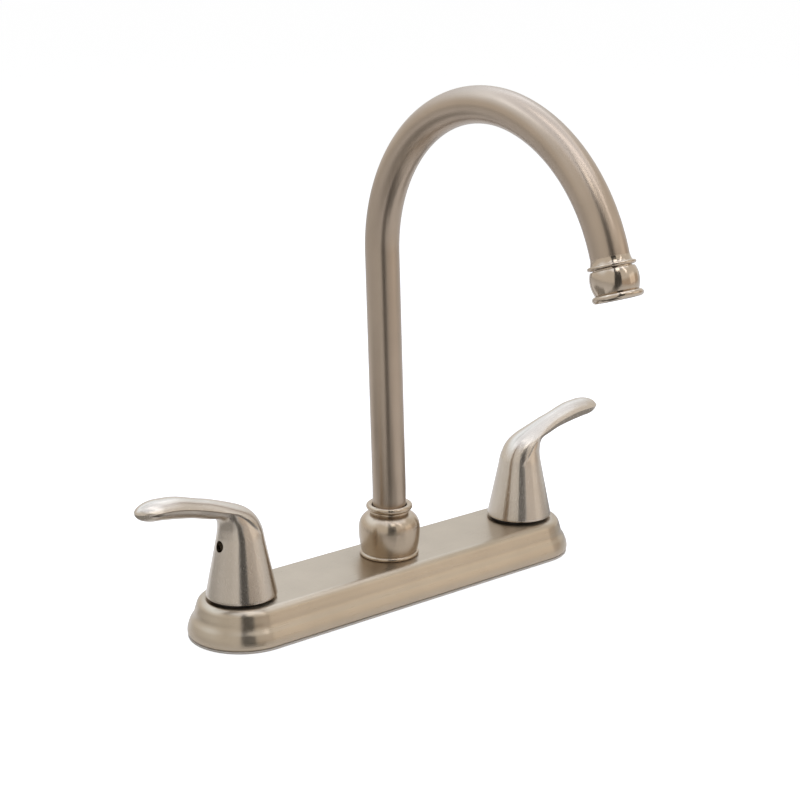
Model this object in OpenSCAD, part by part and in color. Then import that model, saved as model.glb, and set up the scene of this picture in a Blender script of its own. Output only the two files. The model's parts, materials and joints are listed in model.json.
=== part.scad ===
// Two-handle kitchen faucet: a high-arc swivel spout on a long deck plate.
// Millimetres, +Z up. The origin is the middle of the face that lies on the sink deck.
// +X runs along the plate to the cold side, and -Y points over the sink bowl.

/* [Deck plate] */
// Distance between the two valve centres
valve_centres = 203.2; // [180:0.1:230]
// How far the plate reaches past each valve centre
plate_overhang = 29; // [26:0.5:36]
// Half of the plate's width at its foot
plate_half_w = 30.2; // [28:0.1:36]
// Height of the plate's top above the sink deck
plate_top = 21; // [19:0.5:26]
// Wall of the cast plate
plate_wall = 2.2; // [1.2:0.1:3]
// Height of the foot band
foot_h = 6.6; // [5:0.1:8]
// How far the foot of the band flares out
foot_flare = 0.9; // [0.3:0.1:2]
// How far the side steps in above the foot band
ogee_w = 2.4; // [1:0.1:3.5]
// Height of that step
ogee_h = 5.2; // [3:0.1:6]
// How far the side leans in above the step
side_lean = 1.7; // [0.5:0.1:3]
// Radius of the rounded top edge
edge_r = 4.6; // [2:0.1:5]
// Thickness of the base gasket
gasket_t = 1.2; // [0.8:0.1:2]

/* [Spout] */
// Radius of the spout tube
tube_r = 9.4; // [8:0.1:10]
// Wall of the spout tube
tube_wall = 1; // [0.8:0.1:1.5]
// Height above the deck where the tube starts to lean back
bend_z = 56; // [54:1:70]
// Angle that the riser leans back
riser_lean = 2.4; // [0:0.1:4]
// Length of the leaning riser
riser_l = 130.5; // [80:0.5:220]
// Radius of the first stretch of the crown
crown_r1 = 81.5; // [60:0.5:110]
// Turn of the first stretch of the crown
crown_a1 = 55; // [40:1:60]
// Radius of the second stretch of the crown
crown_r2 = 82; // [60:0.5:110]
// Turn of the second stretch of the crown
crown_a2 = 53; // [40:1:60]
// Radius of the drop to the tip
drop_r = 93; // [60:0.5:120]
// Turn of the drop to the tip
drop_a = 56; // [40:0.1:60]
// Radius of the bead ring at the tip
tip_bead_r = 11.75; // [11.6:0.05:13]
// Length of the aerator housing
aerator_l = 14.8; // [13:0.1:20]

/* [Hub] */
// Radius of the hub's base bead
hub_base_r = 16.7; // [16:0.1:18]
// Radius of the hub's waist above the base bead
hub_waist_r = 15.7; // [14.5:0.1:16]
// Radius of the hub's belly
hub_belly_r = 17.3; // [16.5:0.1:18.5]
// Radius of the collar ring at the hub's top
collar_r = 13.1; // [12.7:0.1:13.8]
// Height of the hub
hub_h = 30; // [28.5:0.1:34]

/* [Handles] */
// Radius of the handle's rim
rim_r = 19.1; // [18.4:0.1:20]
// Gap between the rim and the plate
rim_gap = 1.6; // [1.2:0.1:3]
// Angle of the handle's straight side
cone_taper = 11.4; // [8:0.1:12]
// Height of the straight-sided part
cone_h = 28; // [26:0.5:32]
// Reach of the lever from the valve centre
lever_reach = 62.5; // [55:0.5:75]
// Height of the lever's tip above the rim
lever_rise = 57; // [54:0.5:66]
// Half of the lever's width at its neck
neck_half_w = 7.6; // [6:0.1:9]
// Half of the lever's width at its paddle
paddle_half_w = 8.6; // [7:0.1:11]
// Thickness of the lever at its neck
neck_t = 10.1; // [7:0.1:11]
// Thickness of the lever at its paddle
paddle_t = 11.1; // [7:0.1:12]
// Wall of the hollow cone
handle_wall = 2.2; // [1.5:0.1:2.6]

/* [Valves] */
// Radius of the threaded inlet shank
shank_r = 10.45; // [10:0.05:11]
// How far the shank reaches below the sink deck
shank_l = 48; // [44:1:70]
// Radius of the water bore
inlet_r = 6.5; // [5:0.1:7.2]
// Radius of the valve body inside the plate
valve_r = 14; // [13:0.1:15.5]
// Radius of the threaded neck above the plate
neck_r = 11; // [10.5:0.1:11.2]
// How far the threaded neck stands above the plate
neck_h = 7; // [6:0.1:8]
// Radius of the cartridge chamber
chamber_r = 9.1; // [8.6:0.1:9.4]
// Radius of the stem's grip
stem_r = 4; // [3.5:0.1:4.5]
// Wall of the bonnet nut at its flats
nut_wall = 1; // [0.8:0.1:1.2]
// Outer radius of a cross tube
cross_r = 6; // [5:0.1:6.5]
// Thickness of the sink deck that the lock nuts clamp
sink_deck_t = 8; // [5:0.5:14]
// Radius of the set screw
screw_r = 3; // [2:0.1:3.2]

/* [Fits] */
// Radial clearance of a turning or sliding fit
fit = 0.05; // [0.03:0.01:0.1]
// Radial clearance of a loose hole
loose = 0.3; // [0.2:0.05:0.5]

/* [Hidden] */
$fn = 96;

nickel = "#a89c8c";
brass = "#b5903c";
rubber = "#2a2a2a";
over = 0.5;
half = valve_centres / 2;
straight = 2 * (half + plate_overhang - plate_half_w);
ceiling = plate_top - plate_wall;
spout_neck_r = 12.2;

// Curves

function arc(c, r, a0, a1, n = 8) = [
    for (i = [0:n]) let (a = a0 + (a1 - a0) * i / n) [c[0] + r * cos(a), c[1] + r * sin(a)]
];

function bezier(p, n = 10) = [
    for (i = [0:n]) let (t = i / n, s = 1 - t)
        s * s * s * p[0] + 3 * s * s * t * p[1] + 3 * s * t * t * p[2] + t * t * t * p[3]
];

function mirrored(pts) = [for (i = [len(pts) - 1:-1:0]) [-pts[i][0], pts[i][1]]];

// Deck plate

toe_h = 1.2;
flare_h = 3;

// Half section of the plate, drawn in by one wall for the hollow below it
function plate_side(inset) =
    let (
        foot_r = plate_half_w - inset,
        toe_top = gasket_t + toe_h,
        band_top = gasket_t + foot_h,
        band_r = foot_r - foot_flare,
        slope_r = band_r - ogee_w,
        top = plate_top - inset,
        curve_r = edge_r - inset / 2,
        shoulder_r = slope_r - side_lean
    )
    concat(
        [[foot_r, gasket_t - (inset > 0 ? over : 0)]],
        bezier([[foot_r, toe_top], [foot_r, toe_top + flare_h / 3],
                [band_r, toe_top + flare_h / 2], [band_r, toe_top + flare_h]], 4),
        bezier([[band_r, band_top], [band_r, band_top + ogee_h / 2],
                [slope_r, band_top + ogee_h / 2], [slope_r, band_top + ogee_h]], 6),
        arc([shoulder_r - curve_r, top - curve_r], curve_r, 10, 90, 7)
    );

// Sweeps a half section round a straight stretch with two round ends
module round_ended(length, side) {
    low = side[0][1];
    high = side[len(side) - 1][1];
    for (s = [-1, 1])
        translate([s * length / 2, 0, 0])
            rotate([0, 0, -90 * s])
                rotate_extrude(angle = 180)
                    polygon(concat([[0, low]], side, [[0, high]]));
    translate([-length / 2, 0, 0])
        rotate([90, 0, 90])
            linear_extrude(length)
                polygon(concat(side, mirrored(side)));
}

module at_valves() {
    for (s = [-1, 1])
        translate([s * half, 0, 0])
            children();
}

module deck_plate() {
    color(nickel)
        difference() {
            round_ended(straight, plate_side(0));
            round_ended(straight, plate_side(plate_wall));
            at_valves()
                translate([0, 0, ceiling - over])
                    cylinder(r = neck_r + loose, h = plate_wall + 2 * over);
            translate([0, 0, ceiling - over])
                cylinder(r = spout_neck_r + loose, h = plate_wall + 2 * over);
        }
}

module base_gasket() {
    color("#8f8580")
        difference() {
            round_ended(straight, [[plate_half_w - 0.5, 0], [plate_half_w - 0.5, gasket_t]]);
            at_valves()
                translate([0, 0, -over])
                    cylinder(r = shank_r + loose, h = gasket_t + 2 * over);
        }
}

// Valves

port_z = 11;
chamber_floor = 4;
seal_t = 2;
disc_t = 3;
disc_r = chamber_r - 1.1;
socket_deep = 3;
neck_top = plate_top + neck_h;
flange_t = 2;
relief_w = 2;
relief_deep = 0.8;
relief_drop = 1;
nut_t = 10;
washer_t = 2;
nut_low = -sink_deck_t - washer_t - nut_t;
fixed_z = chamber_floor + seal_t;
moving_z = fixed_z + disc_t;
stem_foot_z = moving_z + disc_t;
stem_foot_t = 2.5;
stem_neck_r = stem_r + 1;
nut_lip_z = neck_top + flange_t + fit;
nut_lip_t = 1.6;
nut_top = nut_lip_z + nut_lip_t;
nut_corner_r = (neck_r + nut_wall) / cos(30);
stem_neck_top = nut_top + 4;

// Runs along X from x0 to x1 at height z
module along_x(x0, x1, z, r) {
    translate([x0, 0, z])
        rotate([0, 90, 0])
            cylinder(r = r, h = x1 - x0);
}

// The valve stands at the origin with its outlet towards +X
module valve_body() {
    color(brass)
        difference() {
            union() {
                translate([0, 0, gasket_t])
                    cylinder(r = valve_r, h = ceiling - gasket_t);
                translate([0, 0, ceiling - over])
                    cylinder(r = neck_r, h = neck_top - ceiling + over);
                translate([0, 0, -shank_l])
                    cylinder(r = shank_r, h = shank_l + gasket_t + over);
            }
            translate([0, 0, chamber_floor])
                cylinder(r = chamber_r, h = neck_top);
            translate([0, 0, -shank_l - over])
                cylinder(r = inlet_r, h = shank_l + chamber_floor + 2 * over);
            along_x(0, valve_r + over, port_z, cross_r - 1);
            along_x(valve_r - socket_deep, valve_r + over, port_z, cross_r + fit);
            translate([0, 0, nut_low - relief_drop - relief_w])
                difference() {
                    cylinder(r = shank_r + over, h = relief_w);
                    translate([0, 0, -over])
                        cylinder(r = shank_r - relief_deep, h = relief_w + 2 * over);
                }
        }
}

module cartridge_housing() {
    cage_r = chamber_r - fit;
    inner_r = disc_r + 0.2;
    cage_top = stem_foot_z + stem_foot_t + 0.3;
    window_w = 6;
    color("#d8d4c4")
        difference() {
            union() {
                translate([0, 0, fixed_z])
                    cylinder(r = cage_r, h = neck_top - fixed_z + over);
                translate([0, 0, neck_top])
                    cylinder(r = neck_r - 0.5, h = flange_t);
            }
            translate([0, 0, fixed_z - over])
                cylinder(r = inner_r, h = cage_top - fixed_z + over);
            translate([0, 0, fixed_z])
                cylinder(r = stem_neck_r + fit, h = neck_top);
            for (a = [0, 90])
                rotate([0, 0, a])
                    translate([-chamber_r - over, -window_w / 2, stem_foot_z + 0.3])
                        cube([2 * chamber_r + 2 * over, window_w, stem_foot_t]);
        }
}

module seat_seal() {
    color(rubber)
        translate([0, 0, chamber_floor])
            difference() {
                cylinder(r = chamber_r - 2 * fit, h = seal_t);
                translate([0, 0, -over])
                    cylinder(r = inlet_r, h = seal_t + 2 * over);
            }
}

// A ceramic disc with two openings across from each other
module ceramic_disc(z, turned) {
    hole_r = 2.4;
    color("#f0ede6")
        translate([0, 0, z])
            rotate([0, 0, turned])
                difference() {
                    cylinder(r = disc_r, h = disc_t);
                    for (s = [-1, 1])
                        translate([s * disc_r * 0.5, 0, -over])
                            cylinder(r = hole_r, h = disc_t + 2 * over);
                }
}

stem_grip = 6.5;
stem_top = plate_top + rim_gap + cone_h + stem_grip;
seal_ring_r = 1;
stem_seal_z = neck_top - 5;

module stem() {
    groove_deep = 2 * seal_ring_r + 0.1;
    groove_w = 2 * seal_ring_r + 0.2;
    color(brass)
        difference() {
            union() {
                translate([0, 0, stem_foot_z])
                    cylinder(r = disc_r, h = stem_foot_t);
                translate([0, 0, stem_foot_z])
                    cylinder(r = stem_neck_r, h = stem_neck_top - stem_foot_z);
                translate([0, 0, stem_foot_z])
                    cylinder(r = stem_r, h = stem_top - stem_foot_z);
            }
            translate([0, 0, stem_seal_z - groove_w / 2])
                difference() {
                    cylinder(r = stem_neck_r + over, h = groove_w);
                    translate([0, 0, -over])
                        cylinder(r = stem_neck_r - groove_deep, h = groove_w + 2 * over);
                }
        }
}

// A rubber ring of section radius section_r that reaches out to outer_r
module seal_ring(z, outer_r, section_r) {
    color(rubber)
        translate([0, 0, z])
            rotate_extrude()
                translate([outer_r - section_r, 0])
                    circle(r = section_r, $fn = 32);
}

module stem_seal() {
    seal_ring(stem_seal_z, stem_neck_r + fit / 2, seal_ring_r);
}

module bonnet_nut() {
    color(brass)
        difference() {
            translate([0, 0, plate_top])
                cylinder(r = nut_corner_r, h = nut_top - plate_top, $fn = 6);
            translate([0, 0, plate_top - over])
                cylinder(r = neck_r + fit, h = nut_lip_z - plate_top + over);
            cylinder(r = stem_neck_r + loose, h = nut_top + over);
        }
}

module base_ring() {
    inset = 2.4;
    color("#1e1c1a")
        translate([0, 0, plate_top])
            difference() {
                cylinder(r = rim_r - inset, h = rim_gap - loose);
                translate([0, 0, -over])
                    cylinder(r = nut_corner_r + loose, h = rim_gap + over);
            }
}

module shank_washer() {
    rim = 8.5;
    color("#c9c6c0")
        translate([0, 0, -sink_deck_t - washer_t])
            difference() {
                cylinder(r = shank_r + rim, h = washer_t);
                translate([0, 0, -over])
                    cylinder(r = shank_r + loose, h = washer_t + 2 * over);
            }
}

module lock_nut() {
    flat_r = shank_r + 4.5;
    rim_t = 2;
    color(brass)
        translate([0, 0, nut_low])
            difference() {
                union() {
                    cylinder(r = flat_r / cos(30), h = nut_t - rim_t, $fn = 6);
                    translate([0, 0, nut_t - rim_t - over])
                        cylinder(r = flat_r + 2, h = rim_t + over);
                }
                translate([0, 0, -over])
                    cylinder(r = shank_r + fit, h = nut_t + 2 * over);
            }
}

// Handles

rim_z = plate_top + rim_gap;
tip_z = rim_z + lever_rise;
cone_top_r = rim_r - cone_h * tan(cone_taper);
cone_top_z = rim_z + cone_h;
ring_points = 40;
ring_steps = 3;

// One row per station of the lever: its under point, its top point and its half width
stations = [
    [[rim_r, rim_z], [-rim_r, rim_z], rim_r],
    [[cone_top_r, cone_top_z], [-cone_top_r, cone_top_z], cone_top_r],
    [[cone_top_r - 1, cone_top_z + 7], [-cone_top_r + 2.2, cone_top_z + 9.5], cone_top_r - 1.2],
    [[cone_top_r - 0.9, cone_top_z + 12.5], [-cone_top_r + 6.6, cone_top_z + 16.6], cone_top_r - 2.4],
    [[cone_top_r + 1.6, cone_top_z + 16.6], [0.5, cone_top_z + 21.6], neck_half_w + 2],
    [[cone_top_r + 7.2, tip_z - 11.2], [cone_top_r + 3.4, tip_z - 11.4 + neck_t], neck_half_w + 0.6],
    [[30, tip_z - 8.6], [26, tip_z - 8.8 + neck_t], neck_half_w],
    [[41, tip_z - 6.6], [39, tip_z - 6.2 + paddle_t], paddle_half_w - 0.4],
    [[lever_reach - 12, tip_z - 5.2], [lever_reach - 12.5, tip_z - 5.2 + paddle_t], paddle_half_w],
    [[lever_reach - 5, tip_z - 3.6], [lever_reach - 5, tip_z + 4.2], paddle_half_w - 1.8],
    [[lever_reach - 1.2, tip_z - 1.4], [lever_reach - 1.2, tip_z + 2.2], paddle_half_w - 5]
];

// A smooth value between b and c, with a and d as their neighbours
function smooth(a, b, c, d, t) =
    0.5 * (2 * b + (c - a) * t + (2 * a - 5 * b + 4 * c - d) * t * t
    + (3 * b - a - 3 * c + d) * t * t * t);

last = len(stations) - 1;
function station(i, k) = stations[max(0, min(last, i))][k];
function between(i, t, k) =
    smooth(station(i - 1, k), station(i, k), station(i + 1, k), station(i + 2, k), t);

// The straight cone has one step, and each later stretch has ring_steps
rings = concat(
    [[station(0, 0), station(0, 1), station(0, 2)]],
    [for (i = [1:last - 1], j = [0:ring_steps - 1])
        [between(i, j / ring_steps, 0), between(i, j / ring_steps, 1), between(i, j / ring_steps, 2)]],
    [[station(last, 0), station(last, 1), station(last, 2)]]
);

// A ring has its crown on the top point, and its widest line lies nearer the underside
function ring_shape(ring, n) =
    let (
        mid = (ring[0] + ring[1]) / 2,
        rise = (ring[1] - ring[0]) / 2,
        flat = 1 - norm(rise) / ring[2]
    )
    [for (i = [0:n - 1]) let (
        a = 360 * i / n,
        p = mid + rise * (cos(a) - 0.35 * flat * sin(a) * sin(a))
    ) [p[0], ring[2] * sin(a), p[1]]];

// The lever points towards +X from the valve centre
module lever_form() {
    n = ring_points;
    m = len(rings);
    points = concat(
        [for (r = rings) each ring_shape(r, n)],
        [[0, 0, rim_z], [lever_reach, 0, tip_z + 0.4]]
    );
    sides = [for (j = [0:m - 2], i = [0:n - 1]) let (
        a = j * n + i, b = j * n + (i + 1) % n, c = b + n, d = a + n
    ) each [[a, b, c], [a, c, d]]];
    foot = [for (i = [0:n - 1]) [m * n, (i + 1) % n, i]];
    tip = [for (i = [0:n - 1]) [m * n + 1, (m - 1) * n + i, (m - 1) * n + (i + 1) % n]];
    polyhedron(points, concat(sides, foot, tip));
}

screw_z = cone_top_z + 1;
screw_l = 6;
screw_x0 = stem_r + 2 * fit;
cavity_top = stem_neck_top + 5;

module handle() {
    hollow_top_r = rim_r - handle_wall - (cavity_top - rim_z) * tan(cone_taper);
    color("#b4aa9c")
        difference() {
            lever_form();
            translate([0, 0, rim_z - over])
                cylinder(r1 = rim_r - handle_wall, r2 = hollow_top_r, h = cavity_top - rim_z + over);
            cylinder(r = stem_r + fit, h = stem_top + 1);
            along_x(0, rim_r + over, screw_z, screw_r + fit);
        }
}

module set_screw() {
    key_flats = 3;
    color("#2c2a28")
        difference() {
            along_x(screw_x0, screw_x0 + screw_l, screw_z, screw_r);
            translate([screw_x0 + screw_l - 3, 0, screw_z])
                rotate([0, 90, 0])
                    cylinder(d = key_flats / cos(30), h = 3 + over, $fn = 6);
        }
}

// Spout body, hub and bearing

spout_body_r = 15;
spout_neck_top = plate_top + 12;
spigot_r = 9;
spigot_bore = 5.6;
spout_bore_floor = port_z - cross_r + over;
spigot_low = port_z + cross_r;
flange_r = 11.6;
flange_h = 3;
flange_z = spout_neck_top + fit;
tube_z = flange_z + flange_h;
bushing_h = 4;
bushing_top = tube_z + bushing_h;
hub_top = plate_top + hub_h;

module spout_body() {
    color(brass)
        difference() {
            union() {
                translate([0, 0, gasket_t])
                    cylinder(r = spout_body_r, h = ceiling - gasket_t);
                translate([0, 0, ceiling - over])
                    cylinder(r = spout_neck_r, h = spout_neck_top - ceiling + over);
            }
            translate([0, 0, spout_bore_floor])
                cylinder(r = spigot_r + fit, h = spout_neck_top);
            along_x(-spout_body_r - over, spout_body_r + over, port_z, cross_r - 1);
            for (x0 = [-spout_body_r - over, spout_body_r - socket_deep])
                along_x(x0, x0 + socket_deep + over, port_z, cross_r + fit);
        }
}

// A copper tube from the left valve's outlet to the spout body
module cross_tube() {
    x0 = -half + valve_r - socket_deep;
    x1 = -spout_body_r + socket_deep;
    color("#b87348")
        difference() {
            along_x(x0, x1, port_z, cross_r);
            along_x(x0 - over, x1 + over, port_z, cross_r - 1);
        }
}

module spout_hub() {
    bead = 1.1;
    waist_z = plate_top + 2.2;
    belly_z = plate_top + 15.5;
    neck_z = hub_top - 5.4;
    groove_r = collar_r - 2.3;
    ring_t = 1.65;
    profile = concat(
        [[spout_neck_r + fit, plate_top], [hub_base_r - bead, plate_top]],
        arc([hub_base_r - bead, plate_top + bead], bead, -60, 60, 6),
        bezier([[hub_waist_r, waist_z], [hub_waist_r + 0.8, waist_z + 3.3],
                [hub_belly_r, belly_z - 6], [hub_belly_r, belly_z]], 8),
        bezier([[hub_belly_r, belly_z + 0.1], [hub_belly_r, belly_z + 4.7],
                [hub_belly_r - 2.1, neck_z - 1], [groove_r, neck_z]], 8),
        arc([groove_r - 0.5, neck_z + 1], 1, -60, 60, 5),
        arc([collar_r - ring_t, hub_top - ring_t], ring_t, -115, 100, 10),
        [[tube_r + 0.5, hub_top - 0.8], [tube_r + 0.35, bushing_top + fit],
         [spout_neck_r + fit, bushing_top + fit]]
    );
    color(nickel)
        rotate_extrude()
            polygon(profile);
}

module spout_bushing() {
    color("#e6e2d6")
        translate([0, 0, tube_z + fit])
            difference() {
                cylinder(r = spout_neck_r - 0.1, h = bushing_top - tube_z - fit);
                translate([0, 0, -over])
                    cylinder(r = tube_r + fit, h = bushing_top);
            }
}

spout_seal_zs = [spigot_low + 3.5, spigot_low + 10];
spout_seal_r = 1.2;

module spout_adapter() {
    plug_l = 8;
    groove_floor = spigot_r - 2 * spout_seal_r - 0.1;
    groove_h = 2 * spout_seal_r + 0.2;
    color(brass)
        difference() {
            union() {
                translate([0, 0, spigot_low])
                    cylinder(r = spigot_r, h = tube_z - spigot_low);
                translate([0, 0, flange_z])
                    cylinder(r = flange_r, h = flange_h);
                translate([0, 0, flange_z])
                    cylinder(r = tube_r - tube_wall - fit, h = flange_h + plug_l);
            }
            translate([0, 0, spigot_low - over])
                cylinder(r = spigot_bore, h = tube_z + plug_l);
            for (z = spout_seal_zs)
                translate([0, 0, z - groove_h / 2])
                    difference() {
                        cylinder(r = spigot_r + over, h = groove_h);
                        translate([0, 0, -over])
                            cylinder(r = groove_floor, h = groove_h + 2 * over);
                    }
        }
}

module spout_seals() {
    for (z = spout_seal_zs)
        seal_ring(z, spigot_r + fit / 2, spout_seal_r);
}

// Spout tube: a list of straight runs and bends in the plane of the sink bowl

end_run = 5;
lean_r = 150;
seam_w = 1;
seam_lift = 0.02;

// Each leg is [length or radius, turn], where a turn of 0 is a straight run
legs = [
    [bend_z - tube_z, 0], [lean_r, -riser_lean], [riser_l, 0],
    [crown_r1, crown_a1], [crown_r2, crown_a2], [drop_r, drop_a], [end_run, 0]
];
tip_leg = len(legs) - 1;

function heading(k) = k == 0 ? 90 : heading(k - 1) - legs[k - 1][1];
function side_of(k) = legs[k][1] < 0 ? -1 : 1;
function centre_of(k) = let (a = heading(k) - 90 * side_of(k)) leg_start(k) + legs[k][0] * [cos(a), sin(a)];
function leg_start(k) =
    k == 0 ? [0, tube_z] :
    let (j = k - 1, a = heading(j), b = heading(k) + 90 * side_of(j))
    legs[j][1] == 0 ? leg_start(j) + legs[j][0] * [cos(a), sin(a)]
                    : centre_of(j) + legs[j][0] * [cos(b), sin(b)];

// Points, given as reach over the bowl and height, lie in the Y-Z plane
module in_plane(p) {
    translate([0, -p[0], p[1]])
        children();
}

module tube_leg(k, r, extra) {
    if (legs[k][1] == 0)
        in_plane(leg_start(k))
            rotate([90 - heading(k), 0, 0])
                translate([0, 0, k == 0 ? -extra : 0])
                    cylinder(r = r, h = legs[k][0] + extra);
    else
        in_plane(centre_of(k))
            rotate([90, 0, -90])
                rotate([0, 0, legs[k][1] > 0 ? heading(k + 1) + 90 : heading(k) - 90])
                    rotate_extrude(angle = abs(legs[k][1]))
                        translate([legs[k][0], 0])
                            circle(r = r, $fn = 64);
}

// A hair-thin band covers the joint between two legs
module seam(k, r) {
    in_plane(leg_start(k))
        rotate([90 - heading(k), 0, 0])
            translate([0, 0, -seam_w / 2])
                cylinder(r = r + seam_lift, h = seam_w);
}

// The rod up to leg k, with extra length at both of its ends
module bent_rod(k, r, extra) {
    if (k == 0)
        tube_leg(0, r, extra);
    else
        union() {
            union() {
                bent_rod(k - 1, r, extra);
                seam(k, r);
            }
            tube_leg(k, r, k == tip_leg ? extra : 0);
        }
}

module spout_tube() {
    color(nickel)
        difference() {
            bent_rod(tip_leg, tube_r, 0);
            bent_rod(tip_leg, tube_r - tube_wall, over);
        }
}

// Spout tip, drawn along the flow from the end of the last bend

ferrule_z = 1.2;
bead_z = 5.1;
housing_z = 6.7;
spigot_end = 12.4;
insert_r = tube_r;
mouth_t = 1.6;

module at_tip() {
    in_plane(leg_start(tip_leg))
        rotate([90 - heading(tip_leg), 0, 0])
            children();
}

module tip_ferrule() {
    bead = 1;
    spigot = insert_r + 0.1;
    inner_r = tube_r - 1.8;
    color(nickel)
        at_tip()
            rotate_extrude()
                polygon(concat(
                    [[tube_r + fit, ferrule_z], [tube_r + 0.3, ferrule_z], [tube_r + 0.9, bead_z - 1.2]],
                    arc([tip_bead_r - bead, bead_z], bead, -70, 85, 8),
                    [[spigot, housing_z - 0.1], [spigot, spigot_end], [inner_r, spigot_end],
                     [inner_r, end_run + fit], [tube_r + fit, end_run + fit]]
                ));
}

module aerator_housing() {
    bead = 1.75;
    far = housing_z + aerator_l;
    mouth_r = insert_r - 0.9;
    color(nickel)
        at_tip()
            rotate_extrude()
                polygon(concat(
                    [[insert_r + 0.15, housing_z]],
                    bezier([[tip_bead_r - 0.9, housing_z],
                            [tip_bead_r + 0.45, housing_z + aerator_l / 5],
                            [tip_bead_r + 0.45, housing_z + aerator_l / 2],
                            [tip_bead_r - 1.2, far - 2 * bead]], 6),
                    arc([tip_bead_r + 0.6 - bead, far - bead], bead, -50, 80, 8),
                    [[mouth_r, far], [mouth_r, far - mouth_t], [insert_r + 0.15, far - mouth_t]]
                ));
}

washer_z = spigot_end + fit;
tip_washer_t = 1.4;
insert_z = washer_z + tip_washer_t;
screen_t = 0.45;
insert_end = housing_z + aerator_l - mouth_t - screen_t - fit;

module aerator_washer() {
    color(rubber)
        at_tip()
            translate([0, 0, washer_z])
                difference() {
                    cylinder(r = insert_r, h = tip_washer_t);
                    translate([0, 0, -over])
                        cylinder(r = insert_r - 2.4, h = tip_washer_t + 2 * over);
                }
}

module aerator_insert() {
    color("#3a3a3c")
        at_tip()
            translate([0, 0, insert_z])
                difference() {
                    cylinder(r = insert_r, h = insert_end - insert_z);
                    for (ring = [[6, 3, 0.9], [12, 6, 0.9]], i = [0:ring[0] - 1])
                        rotate([0, 0, 360 * i / ring[0]])
                            translate([ring[1], 0, -over])
                                cylinder(r = ring[2], h = insert_end, $fn = 24);
                }
}

module aerator_screen() {
    color("#b8b8b8")
        at_tip()
            translate([0, 0, insert_end])
                difference() {
                    cylinder(r = insert_r, h = screen_t);
                    for (ring = [[1, 0], [6, 2.4], [12, 4.8], [18, 7.2]], i = [0:ring[0] - 1])
                        rotate([0, 0, 360 * i / ring[0]])
                            translate([ring[1], 0, -over])
                                cylinder(r = 0.8, h = screen_t + 2 * over, $fn = 16);
                }
}

// The left pieces are drawn at the left valve, with the outlet towards the middle
module left() {
    translate([-half, 0, 0])
        children();
}

// The right pieces are the left ones mirrored
module right() {
    mirror([1, 0, 0])
        left()
            children();
}

// The lever form points outwards on both sides
module outwards() {
    mirror([1, 0, 0])
        children();
}

deck_plate();
base_gasket();
left() valve_body();  // left_valve_body
right() valve_body();  // right_valve_body
spout_body();
cross_tube();  // left_cross_tube
mirror([1, 0, 0]) cross_tube();  // right_cross_tube
left() cartridge_housing();  // left_cartridge_housing
right() cartridge_housing();  // right_cartridge_housing
left() seat_seal();  // left_seat_seal
right() seat_seal();  // right_seat_seal
left() ceramic_disc(fixed_z, 0);  // left_fixed_disc
right() ceramic_disc(fixed_z, 0);  // right_fixed_disc
left() ceramic_disc(moving_z, 90);  // left_moving_disc
right() ceramic_disc(moving_z, 90);  // right_moving_disc
left() stem();  // left_stem
right() stem();  // right_stem
left() stem_seal();  // left_stem_seal
right() stem_seal();  // right_stem_seal
left() bonnet_nut();  // left_bonnet_nut
right() bonnet_nut();  // right_bonnet_nut
left() base_ring();  // left_base_ring
right() base_ring();  // right_base_ring
left() outwards() handle();  // left_handle
right() outwards() handle();  // right_handle
left() outwards() set_screw();  // left_set_screw
right() outwards() set_screw();  // right_set_screw
left() shank_washer();  // left_shank_washer
right() shank_washer();  // right_shank_washer
left() lock_nut();  // left_lock_nut
right() lock_nut();  // right_lock_nut
spout_hub();
spout_bushing();
spout_adapter();
spout_seals();
spout_tube();
tip_ferrule();
aerator_housing();
aerator_washer();
aerator_insert();
aerator_screen();
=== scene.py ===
"""Looks of a two-handle kitchen faucet in brushed nickel, on a white studio floor."""

import json
import math

import bmesh
import bpy
from mathutils import Matrix, Vector


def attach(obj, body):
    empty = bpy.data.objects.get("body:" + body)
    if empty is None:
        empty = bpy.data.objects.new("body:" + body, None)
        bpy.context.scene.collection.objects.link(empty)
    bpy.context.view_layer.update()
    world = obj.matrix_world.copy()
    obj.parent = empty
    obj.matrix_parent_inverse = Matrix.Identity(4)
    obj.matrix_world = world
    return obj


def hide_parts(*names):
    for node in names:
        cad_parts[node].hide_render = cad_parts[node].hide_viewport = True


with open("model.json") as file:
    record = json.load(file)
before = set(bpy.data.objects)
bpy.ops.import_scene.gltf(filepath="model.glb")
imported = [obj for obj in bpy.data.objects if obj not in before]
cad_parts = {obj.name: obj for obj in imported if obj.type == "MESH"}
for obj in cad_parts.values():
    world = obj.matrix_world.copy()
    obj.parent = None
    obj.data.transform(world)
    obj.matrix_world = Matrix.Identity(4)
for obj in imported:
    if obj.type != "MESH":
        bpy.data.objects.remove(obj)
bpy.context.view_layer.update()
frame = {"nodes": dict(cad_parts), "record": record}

# Deck plate
# The long cast zinc cover that hides the valve bodies. It is brushed lengthwise and
# nickel plated, and rests on the base gasket, held down by the nuts below the sink.

# Sizes of the faucet are in mm, and MM turns them to metres.
MM = 0.001
HALF_CENTRES = 101.6
END_X = 100.4
FOOT_R = 30.2
PLATE_TOP = 21.0
PLATE_WALL = 2.2
PLATE_EDGE_R = 4.6
SIDE_LEAN_DEG = 14
HANDLE_HOLE_R = 11.3
HUB_HOLE_R = 12.5
GASKET_T = 1.2
CRISP_DEG = 35
WELD = 1e-7

# A Mix node's sockets share their names, so they are told apart by number: the factor, then
# A, B and the result of its vector and colour kinds.
FACTOR = 0
VECTOR_A, VECTOR_B, VECTOR_OUT = 4, 5, 1
COLOUR_A, COLOUR_B, COLOUR_OUT = 6, 7, 2


def linear(colour):
    """Turns an sRGB hex value to the linear colour that a shader socket takes."""
    parts = [int(colour[i:i + 2], 16) / 255 for i in (1, 3, 5)]
    return [*(p / 12.92 if p <= 0.04045 else ((p + 0.055) / 1.055) ** 2.4 for p in parts), 1]


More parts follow.
